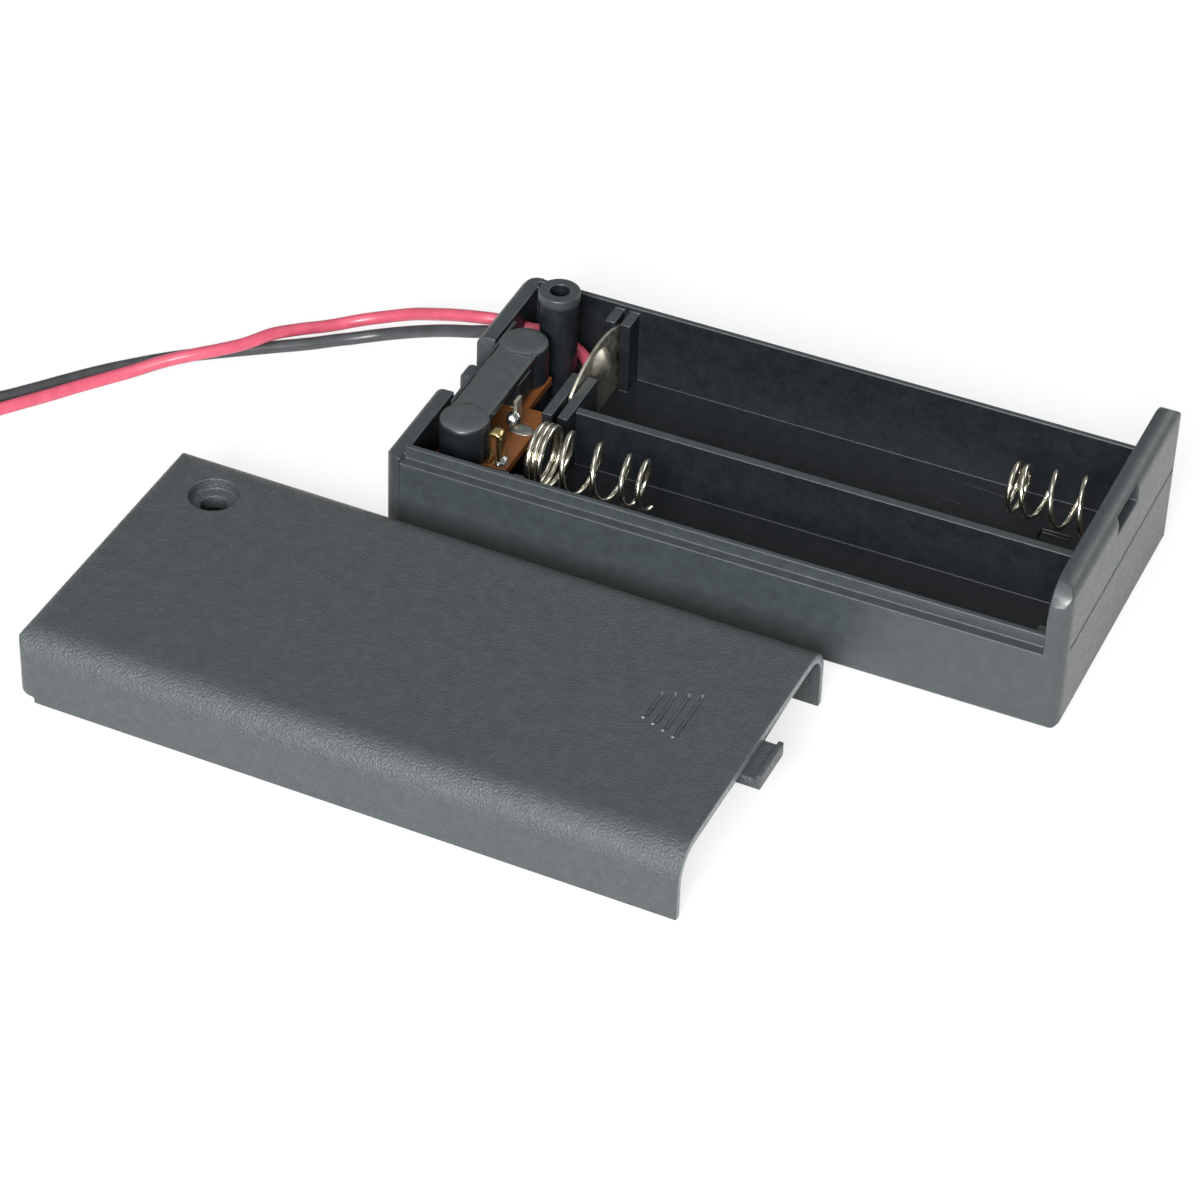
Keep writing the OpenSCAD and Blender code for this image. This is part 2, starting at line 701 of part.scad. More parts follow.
// A bared and tinned end of a lead, leaning on its coil; side is 1 beyond the coil's centre in y, else -1
module tinned_end(at, side) {
    drop = asin((tip_z - tip_d / 2) / end_l);
    color("silver") translate(at + [-tip_out, side * tip_at, tip_z]) rotate([0, -90 - drop, 0])
        cylinder(d = tip_d, h = end_l);
}

module red_end() {
    tinned_end(red_coil_at, 1);
}

module black_end() {
    tinned_end(black_coil_at, -1);
}

tray();
cover();
switch_retainer();
switch_slider();
contact_bridge();
terminal_board();
terminal_front();
terminal_middle();
front_spring();
rear_spring();
plus_plate();
link_plate();
solder_front();
solder_middle();
solder_plate();
red_inner_lead();
black_inner_lead();
red_lead();
black_lead();
red_coil();
black_coil();
red_tie();
black_tie();
red_end();
black_end();
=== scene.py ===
import json
import math

import bmesh
import bpy
from mathutils import Matrix, Vector, noise


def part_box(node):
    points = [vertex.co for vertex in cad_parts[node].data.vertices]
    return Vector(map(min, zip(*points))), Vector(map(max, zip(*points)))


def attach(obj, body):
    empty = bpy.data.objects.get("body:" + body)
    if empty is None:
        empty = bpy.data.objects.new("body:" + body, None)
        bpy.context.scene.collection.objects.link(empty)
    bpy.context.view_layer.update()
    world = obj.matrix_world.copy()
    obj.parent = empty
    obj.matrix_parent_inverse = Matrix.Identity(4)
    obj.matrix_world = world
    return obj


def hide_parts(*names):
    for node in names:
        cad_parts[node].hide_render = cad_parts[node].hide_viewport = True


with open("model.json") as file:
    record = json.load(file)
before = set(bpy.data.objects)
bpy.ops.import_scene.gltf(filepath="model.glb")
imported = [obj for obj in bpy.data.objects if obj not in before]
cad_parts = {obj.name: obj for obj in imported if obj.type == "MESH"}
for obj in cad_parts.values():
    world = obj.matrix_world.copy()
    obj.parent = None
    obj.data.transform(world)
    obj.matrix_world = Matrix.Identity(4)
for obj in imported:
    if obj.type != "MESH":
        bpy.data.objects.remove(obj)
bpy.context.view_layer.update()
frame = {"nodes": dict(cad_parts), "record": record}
scene = bpy.context.scene

# Sizes and places are in millimetres throughout, and MM turns them into Blender's metres
MM = 0.001


def corners(node):
    """A CAD node's lowest and highest corners at rest."""
    return [Vector(c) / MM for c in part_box(node)]


def middle(node):
    lo, hi = corners(node)
    return (lo + hi) / 2


def mount(name):
    """Where the record puts one of the part's mounts."""
    return next(Vector(m["pos_m"]) / MM for m in frame["record"]["mounts"] if m["name"] == name)


# ---------------------------------------------------------------- camera
LENS = 132.75
SENSOR_W = 36
CAMERA_AT = (103.46, -290.68, 242.95)
CAMERA_AIM = (-0.2957, 0.7158, -0.6326)
CAMERA_UP = (-0.2777, 0.5692, 0.7739)


def add_camera():
    """The photograph's camera, fitted to the tray's corners."""
    data = bpy.data.cameras.new("camera")
    data.sensor_fit = "HORIZONTAL"
    data.sensor_width = SENSOR_W
    data.lens = LENS
    data.clip_start = 10 * MM
    ob = bpy.data.objects.new("camera", data)
    scene.collection.objects.link(ob)
    aim = Vector(CAMERA_AIM).normalized()
    up = Vector(CAMERA_UP)
    up = (up - aim * up.dot(aim)).normalized()
    pose = Matrix((aim.cross(up), up, -aim)).transposed().to_4x4()
    pose.translation = Vector(CAMERA_AT) * MM
    ob.matrix_world = pose
    scene.camera = ob


add_camera()


# ---------------------------------------------------------------- materials
class Surface:
    """A procedural material whose patterns are laid out in millimetres on the object."""

    def __init__(self, name, **sockets):
        self.material = bpy.data.materials.new(name)
        self.material.use_nodes = True
        self.tree = self.material.node_tree
        self.shader = self.tree.nodes["Principled BSDF"]
        self.normal = None
        for socket, value in sockets.items():
            self.shader.inputs[socket].default_value = value
        scaled = self.node("ShaderNodeVectorMath", operation="SCALE", Scale=1 / MM)
        self.link(self.node("ShaderNodeTexCoord").outputs["Object"], scaled.inputs[0])
        self.place = scaled.outputs[0]

    def node(self, kind, **settings):
        """A new node; each setting is one of its properties or one of its sockets."""
        made = self.tree.nodes.new(kind)
        for name, value in settings.items():
            if hasattr(made, name):
                setattr(made, name, value)
            else:
                made.inputs[name].default_value = value
        return made

    def link(self, source, target):
        self.tree.links.new(source, target)

    def noise(self, scale, detail=2, rough=0.5, stretch=None):
        place = self.place
        if stretch:
            stretched = self.node("ShaderNodeVectorMath", operation="MULTIPLY")
            stretched.inputs[1].default_value = stretch
            self.link(place, stretched.inputs[0])
            place = stretched.outputs[0]
        made = self.node("ShaderNodeTexNoise", Scale=scale, Detail=detail, Roughness=rough)
        self.link(place, made.inputs["Vector"])
        return made.outputs["Fac"]

    def pits(self, scale):
        made = self.node("ShaderNodeTexVoronoi", Scale=scale)
        self.link(self.place, made.inputs["Vector"])
        return made.outputs["Distance"]

    def vary(self, socket, field, low, high, spread=0.2):
        """Takes a socket from low to high as a field crosses its middle, within spread of it."""
        ramp = self.node("ShaderNodeValToRGB")
        for stop, side, value in zip(ramp.color_ramp.elements, (-1, 1), (low, high)):
            stop.position = 0.5 + side * spread
            stop.color = (*value, 1) if socket == "Base Color" else (value, value, value, 1)
        self.link(field, ramp.inputs[0])
        self.link(ramp.outputs[0], self.shader.inputs[socket])

    def bump(self, field, strength, height):
        """Raises the surface by a field, on top of the bumps that it has already."""
        made = self.node("ShaderNodeBump", Strength=strength, Distance=height * MM)
        self.link(field, made.inputs["Height"])
        if self.normal is not None:
            self.link(self.normal, made.inputs["Normal"])
        self.normal = made.outputs[0]
        self.link(self.normal, self.shader.inputs["Normal"])


def outside_abs():
    """ABS as it leaves a plain mould, a little glossy."""
    s = Surface("black_abs", IOR=1.53)
    s.vary("Base Color", s.noise(0.9, 4, 0.6), (0.026, 0.032, 0.034), (0.036, 0.044, 0.046))
    s.vary("Roughness", s.noise(3, 3), 0.34, 0.46)
    s.bump(s.noise(9, 3, 0.6), 0.25, 0.03)
    s.bump(s.noise(0.35), 0.25, 0.2)
    return s.material


def shaded_inside_abs():
    """The tray's inside faces, a little smoother and glossier than the outside, with painted shade: their
    much darker colour stands in for the shade that falls inside the tray.
    """
    s = Surface("painted_shade_abs", IOR=1.5)
    # painted shade: this colour is several times darker than the outside ABS
    s.vary("Base Color", s.noise(0.7, 4, 0.6), (0.006, 0.008, 0.010), (0.011, 0.013, 0.016))
    s.vary("Roughness", s.noise(2, 3), 0.30, 0.44)
    s.bump(s.noise(0.6, 3), 0.2, 0.1)
    return s.material


def cover_abs():
    """The cover's fine spark-eroded grain, which wears to a gloss on its high points."""
    s = Surface("spark_textured_abs", IOR=1.53)
    s.vary("Base Color", s.noise(1.1, 4, 0.6), (0.032, 0.039, 0.041), (0.044, 0.053, 0.055))
    grain = s.noise(6, 3, 0.65)
    s.vary("Roughness", grain, 0.28, 0.5, 0.15)
    s.bump(grain, 0.9, 0.1)
    s.bump(s.pits(4.5), 0.5, 0.09)
    return s.material


def cut_abs():
    """The cover's end, smooth and paler than its textured top."""
    s = Surface("smooth_abs", IOR=1.53)
    s.vary("Base Color", s.noise(1.5, 3), (0.10, 0.12, 0.125), (0.15, 0.175, 0.18))
    s.vary("Roughness", s.noise(5), 0.3, 0.45)
    return s.material


def glint_abs():
    """ABS with painted highlight: pale and bright, standing in for the glints on small bumps."""
    s = Surface("painted_glint_abs", IOR=1.6)
    s.vary("Base Color", s.noise(4, 3), (0.16, 0.18, 0.18), (0.30, 0.32, 0.32))
    s.vary("Roughness", s.noise(9), 0.2, 0.35)
    return s.material


def melted_abs():
    """The switch bar, dulled where the pins were melted over it."""
    s = Surface("melted_abs", IOR=1.53)
    s.vary("Base Color", s.noise(1.3, 4, 0.7), (0.030, 0.037, 0.038), (0.042, 0.051, 0.053))
    s.vary("Roughness", s.noise(4, 3), 0.5, 0.7)
    s.bump(s.noise(3, 4, 0.65), 0.5, 0.07)
    s.bump(s.noise(12), 0.3, 0.03)
    return s.material


def metal(name, color, rough, scale, tarnish=0.1):
    """Bare metal with patches of tarnish, which take more from its blue than from its red."""
    s = Surface(name, Metallic=1)
    dull = [c * (1 - tarnish * share) for c, share in zip(color, (1, 1.2, 1.9))]
    s.vary("Base Color", s.noise(scale, 4, 0.65), dull, color, 0.15)
    s.vary("Roughness", s.noise(scale * 2.2, 3), rough * 0.8, rough * 1.35)
    s.bump(s.noise(scale * 2), 0.12, 0.02)
    return s.material


def insulation(name, low, high, rough=0.34):
    """Extruded plastic, as on a lead or a tie."""
    s = Surface(name, IOR=1.5)
    s.vary("Base Color", s.noise(0.8, 3), low, high)
    s.vary("Roughness", s.noise(5, 3), rough * 0.85, rough * 1.2)
    s.bump(s.noise(6, 3), 0.15, 0.03)
    return s.material


def phenolic():
    """Brown phenolic paper, with its fibres along x."""
    s = Surface("paper_phenolic", IOR=1.5)
    s.vary("Base Color", s.noise(2.4, 5, 0.7, (1, 3, 1)), (0.08, 0.024, 0.006), (0.20, 0.072, 0.018))
    s.vary("Roughness", s.noise(6, 3), 0.32, 0.5)
    s.bump(s.noise(14, 3), 0.3, 0.03)
    return s.material


M = {
    "abs": outside_abs(),
    "inside": shaded_inside_abs(),
    "cover": cover_abs(),
    "edge": cut_abs(),
    "glint_paint": glint_abs(),
    "retainer": melted_abs(),
    "steel": metal("tinned_steel", (0.66, 0.64, 0.55), 0.38, 0.5),
    "wire": metal("spring_wire", (0.70, 0.68, 0.60), 0.2, 3),
    "brass": metal("brass", (0.78, 0.62, 0.30), 0.25, 4),
    "solder": metal("solder", (0.50, 0.52, 0.53), 0.27, 2, 0.05),
    "pool": metal("dull_solder", (0.36, 0.38, 0.37), 0.45, 1.5, 0.05),
    "copper": metal("tinned_copper", (0.74, 0.68, 0.60), 0.3, 4),
    "board": phenolic(),
    "red": insulation("red_pvc", (0.38, 0.056, 0.092), (0.46, 0.074, 0.116)),
    "black": insulation("black_pvc", (0.026, 0.028, 0.030), (0.040, 0.042, 0.046)),
    "tie": insulation("tie_nylon", (0.62, 0.62, 0.58), (0.74, 0.74, 0.70), 0.45),
}


# ---------------------------------------------------------------- wires and leads
HANDLE_SHARE = 0.36
STEPS_A_TURN = 16

LEAD_D = 1.2
RED_ROUTE = [
    (-31.5, 11.2, 5.4), (-32.5, 11.2, 5.4), (-34, 11, 5.3), (-36.5, 11.1, 4.7), (-39, 11.6, 3.7),
    (-41.5, 12.1, 2.6), (-44, 12, 1.6), (-46.5, 11.2, 0.9), (-48.8, 9.4, 0.7), (-50.8, 6.8, 1.3),
    (-52.3, 4.3, 1.9), (-53.8, 1.9, 1.9), (-55.4, 0.1, 1.9), (-57.4, -1.7, 1.8), (-59.5, -3.2, 1.4),
    (-62, -5.4, 0.8), (-64.5, -8.2, 0.6), (-67.2, -11.8, 0.6), (-70, -15.4, 0.6), (-73, -19.4, 0.6),
    (-76.3, -23.8, 0.6)]
BLACK_ROUTE = [
    (-31.5, 9.1, 5.4), (-32.5, 9.1, 5.4), (-34, 9, 5), (-36.5, 9.3, 4.1), (-39, 9.7, 3),
    (-41.5, 9.9, 1.9), (-44, 9.6, 1), (-46.5, 8.3, 0.6), (-49.3, 6.1, 0.6), (-53, 3.5, 0.6),
    (-56.5, 1, 0.6), (-59.5, -1.3, 0.6), (-62.2, -3.8, 0.6), (-64.6, -6.3, 0.6), (-66.6, -8.7, 0.6),
    (-68.9, -11.6, 0.6), (-71, -14, 0.6), (-73.6, -15.9, 0.6), (-77, -16.6, 0.6), (-80.9, -16.6, 0.6)]

# The coils' centres, their outermost turn, and the loose end that lies on the turns
RED_COIL = (-73.2, -31.8)
BLACK_COIL = (-85.4, -9.3)
COIL_R = 7.3
CLIMB_DEG = 40
OVER_Z = 1.5 * LEAD_D + 0.02
TIP_OUT = 6.5
TIP_AT = 5
TIP_Z = 1.3


def wire(name, pts, d, mat):
    """A round wire, smooth through its points and nowhere lower than the lowest of them."""
    data = bpy.data.curves.new(name, "CURVE")
    data.dimensions = "3D"
    data.bevel_depth = d / 2 * MM
    data.bevel_resolution = 5
    data.resolution_u = 6
    data.use_fill_caps = True
    data.materials.append(mat)
    spline = data.splines.new("BEZIER")
    spline.bezier_points.add(len(pts) - 1)
    pts = [Vector(p) for p in pts]
    low = min(p.z for p in pts)
    for knot, before, at, after in zip(spline.bezier_points, pts[:1] + pts, pts, pts[1:] + pts[-1:]):
        along = (after - before).normalized() * HANDLE_SHARE
        left = at - along * (at - before).length
        right = at + along * (after - at).length
        left.z = max(left.z, low)
        right.z = max(right.z, low)
        knot.handle_left_type = knot.handle_right_type = "FREE"
        knot.co = at * MM
        knot.handle_left = left * MM
        knot.handle_right = right * MM
    ob = bpy.data.objects.new(name, data)
    scene.collection.objects.link(ob)
    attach(ob, "root")
    return ob


def coil(at, side, start, turns):
    """Turns inside one another on the floor, then the loose end on top; side 1 is anticlockwise."""
    sweep = turns * 360
    steps = int(turns * STEPS_A_TURN)
    pts = []
    for i in range(steps + 1):
        deg = sweep * i / steps
        a = math.radians(start + side * deg)
        r = COIL_R - LEAD_D * deg / 360
        climb = min(1, max(0, 1 - (sweep - deg) / CLIMB_DEG))
        z = LEAD_D / 2 + LEAD_D * (3 - 2 * climb) * climb ** 2
        pts.append((at[0] + r * math.cos(a), at[1] + r * math.sin(a), z))
    y = at[1] + side * TIP_AT
    return pts + [(at[0] - 2.6, y, OVER_Z), (at[0] - 4.6, y, OVER_Z), (at[0] - TIP_OUT, y, TIP_Z)]


def add_leads():
    """The leads outside the tray, each one curve from its hole to the loose end of its coil."""
    for name, route, at, side, start, turns in (
            ("red", RED_ROUTE, RED_COIL, 1, 143, 1.853),
            ("black", BLACK_ROUTE, BLACK_COIL, -1, -90, 2)):
        ob = wire(name + "_lead_wire", route + coil(at, side, start, turns), LEAD_D, M[name])
        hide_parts(name + "_lead", name + "_coil")


add_leads()


# ---------------------------------------------------------------- meshes
WELD = 0.002
FLAT_DEG = 0.5
CREASE_DEG = 50


def add_mesh(name, bm, mat, body="root"):
    """A smooth object made from a bmesh, riding on a body."""
    for face in bm.faces:
        face.smooth = True
    mesh = bpy.data.meshes.new(name)
    bm.to_mesh(mesh)
    bm.free()
    mesh.materials.append(mat)
    ob = bpy.data.objects.new(name, mesh)
    scene.collection.objects.link(ob)
    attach(ob, body)
    return ob


def add_piece(name, bm, mat, node, body="root", sharp_deg=35):
    """A mesh that stands for a CAD node; edges that turn by sharp_deg or more stay crisp."""
    for edge in bm.edges:
        edge.smooth = len(edge.link_faces) == 2 and edge.calc_face_angle(math.pi) < math.radians(sharp_deg)
    ob = add_mesh(name, bm, mat, body)
    ob.modifiers.new("normals", "WEIGHTED_NORMAL").keep_sharp = True
    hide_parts(node)
    return ob


def soften(node, mat, width, segments=3, body="root", join_flats=True):
    """A copy of a CAD node with its edges rounded as a mould or a press leaves them."""
    source = frame["nodes"][node]
    bm = bmesh.new()
    bm.from_mesh(source.data)
    bm.transform(source.matrix_world)
    bmesh.ops.remove_doubles(bm, verts=bm.verts, dist=WELD * MM)
    if join_flats:
        bmesh.ops.dissolve_limit(bm, angle_limit=math.radians(FLAT_DEG), verts=bm.verts, edges=bm.edges)
    creases = [e for e in bm.edges
               if len(e.link_faces) == 2 and e.calc_face_angle(0) > math.radians(CREASE_DEG)]
    bmesh.ops.bevel(bm, geom=creases, offset=width * MM, offset_type="OFFSET", segments=segments,
                    profile=0.5, affect="EDGES", clamp_overlap=False, miter_outer="ARC")
    return add_piece(node + "_moulded", bm, mat, node, body)


def rounded_box(bm, lo, hi, r, segments=4):
    """Adds a box with rounded edges."""
    lo, hi = Vector(lo), Vector(hi)
    place = Matrix.Translation((lo + hi) / 2 * MM) @ Matrix.Diagonal((*((hi - lo) * MM), 1))
    bevel_box(bm, place, r, segments)


def bevel_box(bm, place, r, segments):
    """Adds a unit cube, placed and stretched by a matrix, and rounds its edges."""
    verts = bmesh.ops.create_cube(bm, size=1, matrix=place)["verts"]
    edges = list(dict.fromkeys(e for v in verts for e in v.link_edges))
    bmesh.ops.bevel(bm, geom=edges, offset=r * MM, segments=segments, profile=0.5, affect="EDGES")


def skin(bm, rings):
    """Joins rings of vertices into a closed skin with a face across each end."""
    count = len(rings[0])
    for a, b in zip(rings, rings[1:]):
        for i in range(count):
            j = (i + 1) % count
            bm.faces.new((a[i], a[j], b[j], b[i]))
    bm.faces.new(list(reversed(rings[0])))
    bm.faces.new(rings[-1])


def lathe(bm, x, y, profile, wobble, seed):
    """Adds a round piece about a vertical axis from (radius, height) pairs, a little uneven."""
    steps = 64
    lump = 1.3
    rings = []
    for r, z in profile:
        ring = []
        for i in range(steps):
            a = 2 * math.pi * i / steps
            out = Vector((math.cos(a), math.sin(a), 0))
            uneven = 1 + wobble * noise.noise(out * lump + Vector((0, 0, z * 0.7 + seed)))
            ring.append(bm.verts.new((Vector((x, y, z)) + out * r * uneven) * MM))
        rings.append(ring)
    skin(bm, rings)


def recolour_faces(ob, finish, picks):
    """Gives another material to the faces that picks chooses from their middle and normal; the tray,
    retainer and slider get painted shade this way, the cover its paler end.
    """
    ob.data.materials.append(M[finish])
    for face in ob.data.polygons:
        if picks(face.center / MM, face.normal):
            face.material_index = 1


# ---------------------------------------------------------------- tray and cover
BOSS = mount("screw_pilot")
BOSS_R = 2.1
BOSS_HOLE_R = 0.95
BOSS_CLEAR_Z = 6.5

# Where the painted shade inside the tray ends: just outside the tray's inner faces, just under its rim,
# and just under the tops of divider and ribs
INNER_X = (-29.66, 29.61)
INNER_Y = 13.66
RIM_Z = 8.95
RIB_TOP_Z = 6.7


def shaded_in_tray(at, normal):
    """Picks the faces that get painted shade: the tray's inside faces and the boss's hole, but neither the
    ribs' tops nor the boss.
    """
    from_boss = math.hypot(at.x - BOSS.x, at.y - BOSS.y)
    if from_boss < BOSS_R and at.z > BOSS_CLEAR_Z:
        return from_boss < BOSS_HOLE_R and abs(normal.z) < 0.6
    inside = abs(at.y) < INNER_Y and INNER_X[0] < at.x < INNER_X[1] and at.z < RIM_Z
    return inside and not (normal.z > 0.3 and at.z > RIB_TOP_Z)


def tray():
    # painted shade: the tray's inside faces get the much darker inside material
    recolour_faces(soften("tray", M["abs"], 0.12), "inside", shaded_in_tray)


def cover():
    """The cover, with its flat faces kept as the CAD triangles, because joining them tears it."""
    ob = soften("cover", M["cover"], 0.14, join_flats=False)
    tip = corners("cover")[1].x
    recolour_faces(ob, "edge", lambda at, normal: normal.x > 0.9 and tip - 4.2 < at.x < tip - 1.2)


# ---------------------------------------------------------------- switch
WALL_T = 1.85
RUN_CLEAR = 0.1
BAR_W = 3.7
BAR_T = 1.0


def retainer():
    """Two pins melted over into round heads, with a bar between them that holds the slider."""
    lo, hi = corners("switch_retainer")
    x = (lo.x + hi.x) / 2
    r = (hi.x - lo.x) / 2
    y0, y1 = lo.y + r, hi.y - r
    top = hi.z
    bar_top = top - 0.15
    bm = bmesh.new()
    rounded_box(bm, (x - BAR_W / 2, y0, bar_top - BAR_T), (x + BAR_W / 2, y1, bar_top), 0.3)
    # how far the melted rim lies in from the pin's side, and how far below its top
    rim = [(0.02, 0.75), (0.05, 0.5), (0.13, 0.28), (0.3, 0.12), (0.6, 0.04), (1.1, 0),
           (r - 0.9, 0.02), (r - 0.3, 0.04)]
    profile = [(r - 0.05, lo.z), (r - 0.02, lo.z + 0.3)] + [(r - inset, top - drop) for inset, drop in rim]
    for y, seed in ((y0, 1), (y1, 7)):
        lathe(bm, x, y, profile, 0.02, seed)
    bmesh.ops.recalc_face_normals(bm, faces=bm.faces)
    # the thin lifted edge where the rear head ran over the bar
    rounded_box(bm, (x + 0.1, y1 - r - 0.02, top - 0.2), (x + 1.75, y1 - r + 0.22, top - 0.03), 0.05, 2)
    ob = add_piece("retainer_bar", bm, M["retainer"], "switch_retainer", sharp_deg=40)
    # painted shade: the sides of the bar and heads below their tops get the much darker inside material
    recolour_faces(ob, "inside", lambda at, normal: normal.z < 0.4 and at.z < top - 0.35)


def slider():
    """A shield inside the wall, a block under the bar and a knob through the slot."""
    lo, hi = corners("switch_slider")
    shield_x = corners("tray")[0].x + WALL_T + RUN_CLEAR
    bm = bmesh.new()
    rounded_box(bm, (shield_x, lo.y, lo.z), (shield_x + 0.35, hi.y, hi.z), 0.08, 2)
    rounded_box(bm, (shield_x, -0.6, 5.56), (hi.x, 2.2, hi.z), 0.2, 3)
    rounded_box(bm, (lo.x, 1.9, 3.1), (shield_x + 0.2, 4.2, 5.4), 0.5, 5)
    ob = add_piece("slider_moulded", bm, M["abs"], "switch_slider", body="slider")
    # painted shade: the block's faces inside the wall that don't face up get the much darker inside
    # material
    recolour_faces(ob, "inside", lambda at, normal: at.x > shield_x + 0.4 and normal.z < 0.6)


# ---------------------------------------------------------------- contacts and board
SPRING_WIRE_D = 0.5
SPRING_BASE_R = 2.8
SPRING_TIP_R = 2.15
BASE_PITCH = 0.55
END_TURNS = 1.5
HOOK_T = 0.35
HOOK_BEND_R = 0.36
HOOK_FOOT_Z = 5.5


def spring(node, base_x, seat, way, length, base_turns, turns, end_pitch):
    """A conical spring along x; way is 1 or -1, and its base and end turns have their own pitches."""
    reach = length - SPRING_WIRE_D
    base_l = base_turns * BASE_PITCH
    axis = mount(seat)
    pts = []
    for i in range(round(turns * STEPS_A_TURN) + 1):
        turn = i / STEPS_A_TURN
        cone = min(1, max(0, (turn - base_turns) / (turns - END_TURNS - base_turns)))
        r = SPRING_BASE_R - (SPRING_BASE_R - SPRING_TIP_R) * cone
        if turn < base_turns:
            x = turn * BASE_PITCH
        elif turn > turns - END_TURNS:
            x = reach - (turns - turn) * end_pitch
        else:
            x = base_l + cone * (reach - END_TURNS * end_pitch - base_l)
        a = 2 * math.pi * turn
        pts.append((base_x + way * (x + SPRING_WIRE_D / 2), axis.y + way * r * math.cos(a),
                    axis.z + r * math.sin(a)))
    ob = wire(node + "_wire", pts, SPRING_WIRE_D, M["wire"])
    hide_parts(node)


def springs():
    spring("front_spring", corners("front_spring")[0].x, "front_cell_seat", 1, 11.5, 2.75, 6.75, 1.6)
    spring("rear_spring", corners("rear_spring")[1].x, "rear_cell_seat", -1, 10.6, 1.25, 5.75, 0.85)


def stamped():
    """The flat contacts, the board and the upright terminal."""
    soften("plus_plate", M["steel"], 0.05, 2)
    soften("link_plate", M["steel"], 0.05, 2)
    soften("contact_bridge", M["brass"], 0.05, 2, body="slider")
    soften("terminal_board", M["board"], 0.06, 2)
    soften("terminal_middle", M["steel"], 0.05, 2)


def fold(path, r):
    """Points along a path in x and z, with each of its corners bent to a radius of about r."""
    path = [Vector(p) for p in path]
    line = [path[0]]
    for a, corner, b in zip(path, path[1:], path[2:]):
        u, v = (a - corner).normalized(), (b - corner).normalized()
        for k in range(9):
            w = k / 8
            line.append(corner + u * r * (1 - w) ** 2 + v * r * w ** 2)
    return line + [path[-1]]


def hook():
    """The front terminal: a strip that comes up through the board and folds over to its solder."""
    lo, hi = corners("terminal_front")
    half = HOOK_T / 2
    line = fold([(lo.x + half, lo.z), (lo.x + half, hi.z - half), (hi.x - half, hi.z - half),
                 (hi.x - half, HOOK_FOOT_Z)], HOOK_BEND_R)
    chamfer = 0.06
    inner = 1 - chamfer / half
    outline = [(-1, lo.y + chamfer), (-1, hi.y - chamfer), (-inner, hi.y), (inner, hi.y),
               (1, hi.y - chamfer), (1, lo.y + chamfer), (inner, lo.y), (-inner, lo.y)]
    bm = bmesh.new()
    rings = []
    for at, before, after in zip(line, line[:1] + line, line[1:] + line[-1:]):
        along = (after - before).normalized()
        out = Vector((-along.y, along.x)) * half
        rings.append([bm.verts.new(Vector((at.x + out.x * side, y, at.y + out.y * side)) * MM)
                      for side, y in outline])
    skin(bm, rings)
    bmesh.ops.recalc_face_normals(bm, faces=bm.faces)
    add_piece("terminal_front_strip", bm, M["brass"], "terminal_front", sharp_deg=50)


def drop(name, node, shift, size, seed):
    """Solder that has set a little unevenly, about a node's middle; size is its half axes."""
    bm = bmesh.new()
    bmesh.ops.create_icosphere(bm, subdivisions=5, radius=1)
    for v in bm.verts:
        n = v.co.normalized()
        lumps = 0.10 * noise.noise(n * 1.6 + Vector((seed, 0, 0)))
        dimples = 0.03 * noise.noise(n * 5 + Vector((0, seed, 0)))
        v.co = (n * (1 + lumps + dimples)) * Vector(size)
    bm.transform(Matrix.Scale(MM, 4) @ Matrix.Translation(middle(node) + Vector(shift)))
    add_piece(name, bm, M["solder"], node, sharp_deg=80)


def solder():
    drop("solder_drop", "solder_middle", (0, 0, 0), (0.72, 0.72, 0.70), 3)
    drop("solder_foot", "solder_front", (0, 0, -0.1), (0.6, 0.8, 0.5), 1)
    drop("solder_plate_drop", "solder_plate", (0.2, 0, 0), (0.75, 0.88, 0.9), 9)


# ---------------------------------------------------------------- small marks
FLOOR_Z = 1.19
COVER_AT = Vector((-49.1, -49.1, 0))
COVER_TURN_DEG = -1
GRIP_AT = (51.25, 14.17, 6.83)
GRIP_PITCH = 1.05
GRIP_STEP = 0.39
GRIP_COUNT = 4


def mould_lines():
    """Witness lines of the mould on the rear bay's floor."""
    bm = bmesh.new()
    for start, end in (((6.6, 12.9), (18, 11.9)), ((7.7, 10), (13.9, 9.3)), ((13.9, 9.3), (13.8, 7.4))):
        a, b = Vector((*start, FLOOR_Z)), Vector((*end, FLOOR_Z))
        run = b - a
        stretch = Matrix.Diagonal((run.length * MM, 0.09 * MM, 0.09 * MM, 1))
        turn = Matrix.Rotation(math.atan2(run.y, run.x), 4, "Z")
        bevel_box(bm, Matrix.Translation((a + b) / 2 * MM) @ turn @ stretch, 0.02, 2)
    # painted shade: the lines take the tray's much darker inside material, like the floor under them
    add_mesh("mould_lines", bm, M["inside"])


def grip_ends():
    """Small raised domes at the front ends of the cover's grip lines, pale with painted highlight for
    their glints.
    """
    turn = Matrix.Rotation(math.radians(COVER_TURN_DEG), 3, "Z")
    x, y, z = GRIP_AT
    bm = bmesh.new()
    for i in range(GRIP_COUNT):
        at = COVER_AT + turn @ Vector((x + i * GRIP_PITCH, y - i * GRIP_STEP, z))
        for v in bmesh.ops.create_icosphere(bm, subdivisions=3, radius=0.13)["verts"]:
            v.co = Vector((v.co.x, v.co.y, v.co.z * 0.6)) + at
    bm.transform(Matrix.Scale(MM, 4))
    # painted highlight: the domes take the pale glint material
    add_mesh("grip_ends", bm, M["glint_paint"])


def solder_pool():
    """The flat pool that the solder left on the board, towards the spring."""
    at = middle("solder_middle") + Vector((0.5, 0.6, 0))
    at.z = corners("terminal_board")[1].z
    bm = bmesh.new()
    bmesh.ops.create_icosphere(bm, subdivisions=4, radius=1)
    for v in bm.verts:
        n = v.co.normalized()
        uneven = 1 + 0.16 * noise.noise(Vector((n.x * 1.7, n.y * 1.7, 4)))
        v.co = (at + Vector((n.x * uneven * 1.25, n.y * uneven * 0.8, n.z * 0.14))) * MM
    add_mesh("solder_pool", bm, M["pool"])


